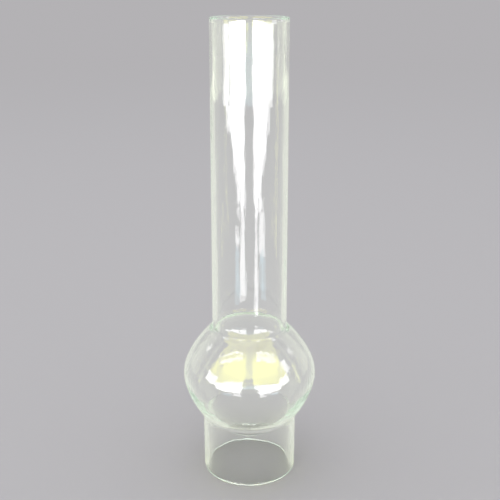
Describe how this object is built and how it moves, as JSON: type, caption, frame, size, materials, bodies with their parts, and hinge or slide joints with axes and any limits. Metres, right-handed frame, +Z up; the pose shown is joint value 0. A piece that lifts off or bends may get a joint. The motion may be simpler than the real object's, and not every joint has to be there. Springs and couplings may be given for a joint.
{
  "type": "oil lamp chimney",
  "caption": "Clear blown-glass chimney for a round-wick oil lamp: straight collar, onion-shaped bulb and long open tube.",
  "frame": {"origin": "centre of the bottom rim, in the plane that the chimney stands on", "axes": "+Z up the chimney's axis from the collar to the mouth; X and Y are any two directions across it"},
  "size_m": [0.075, 0.075, 0.255],
  "materials": {
    "clear_glass": "clear fire-polished soda-lime glass with a slight green tint"
  },
  "bodies": {
    "root": {"glass_chimney": "clear_glass"}
  },
  "joints": []
}
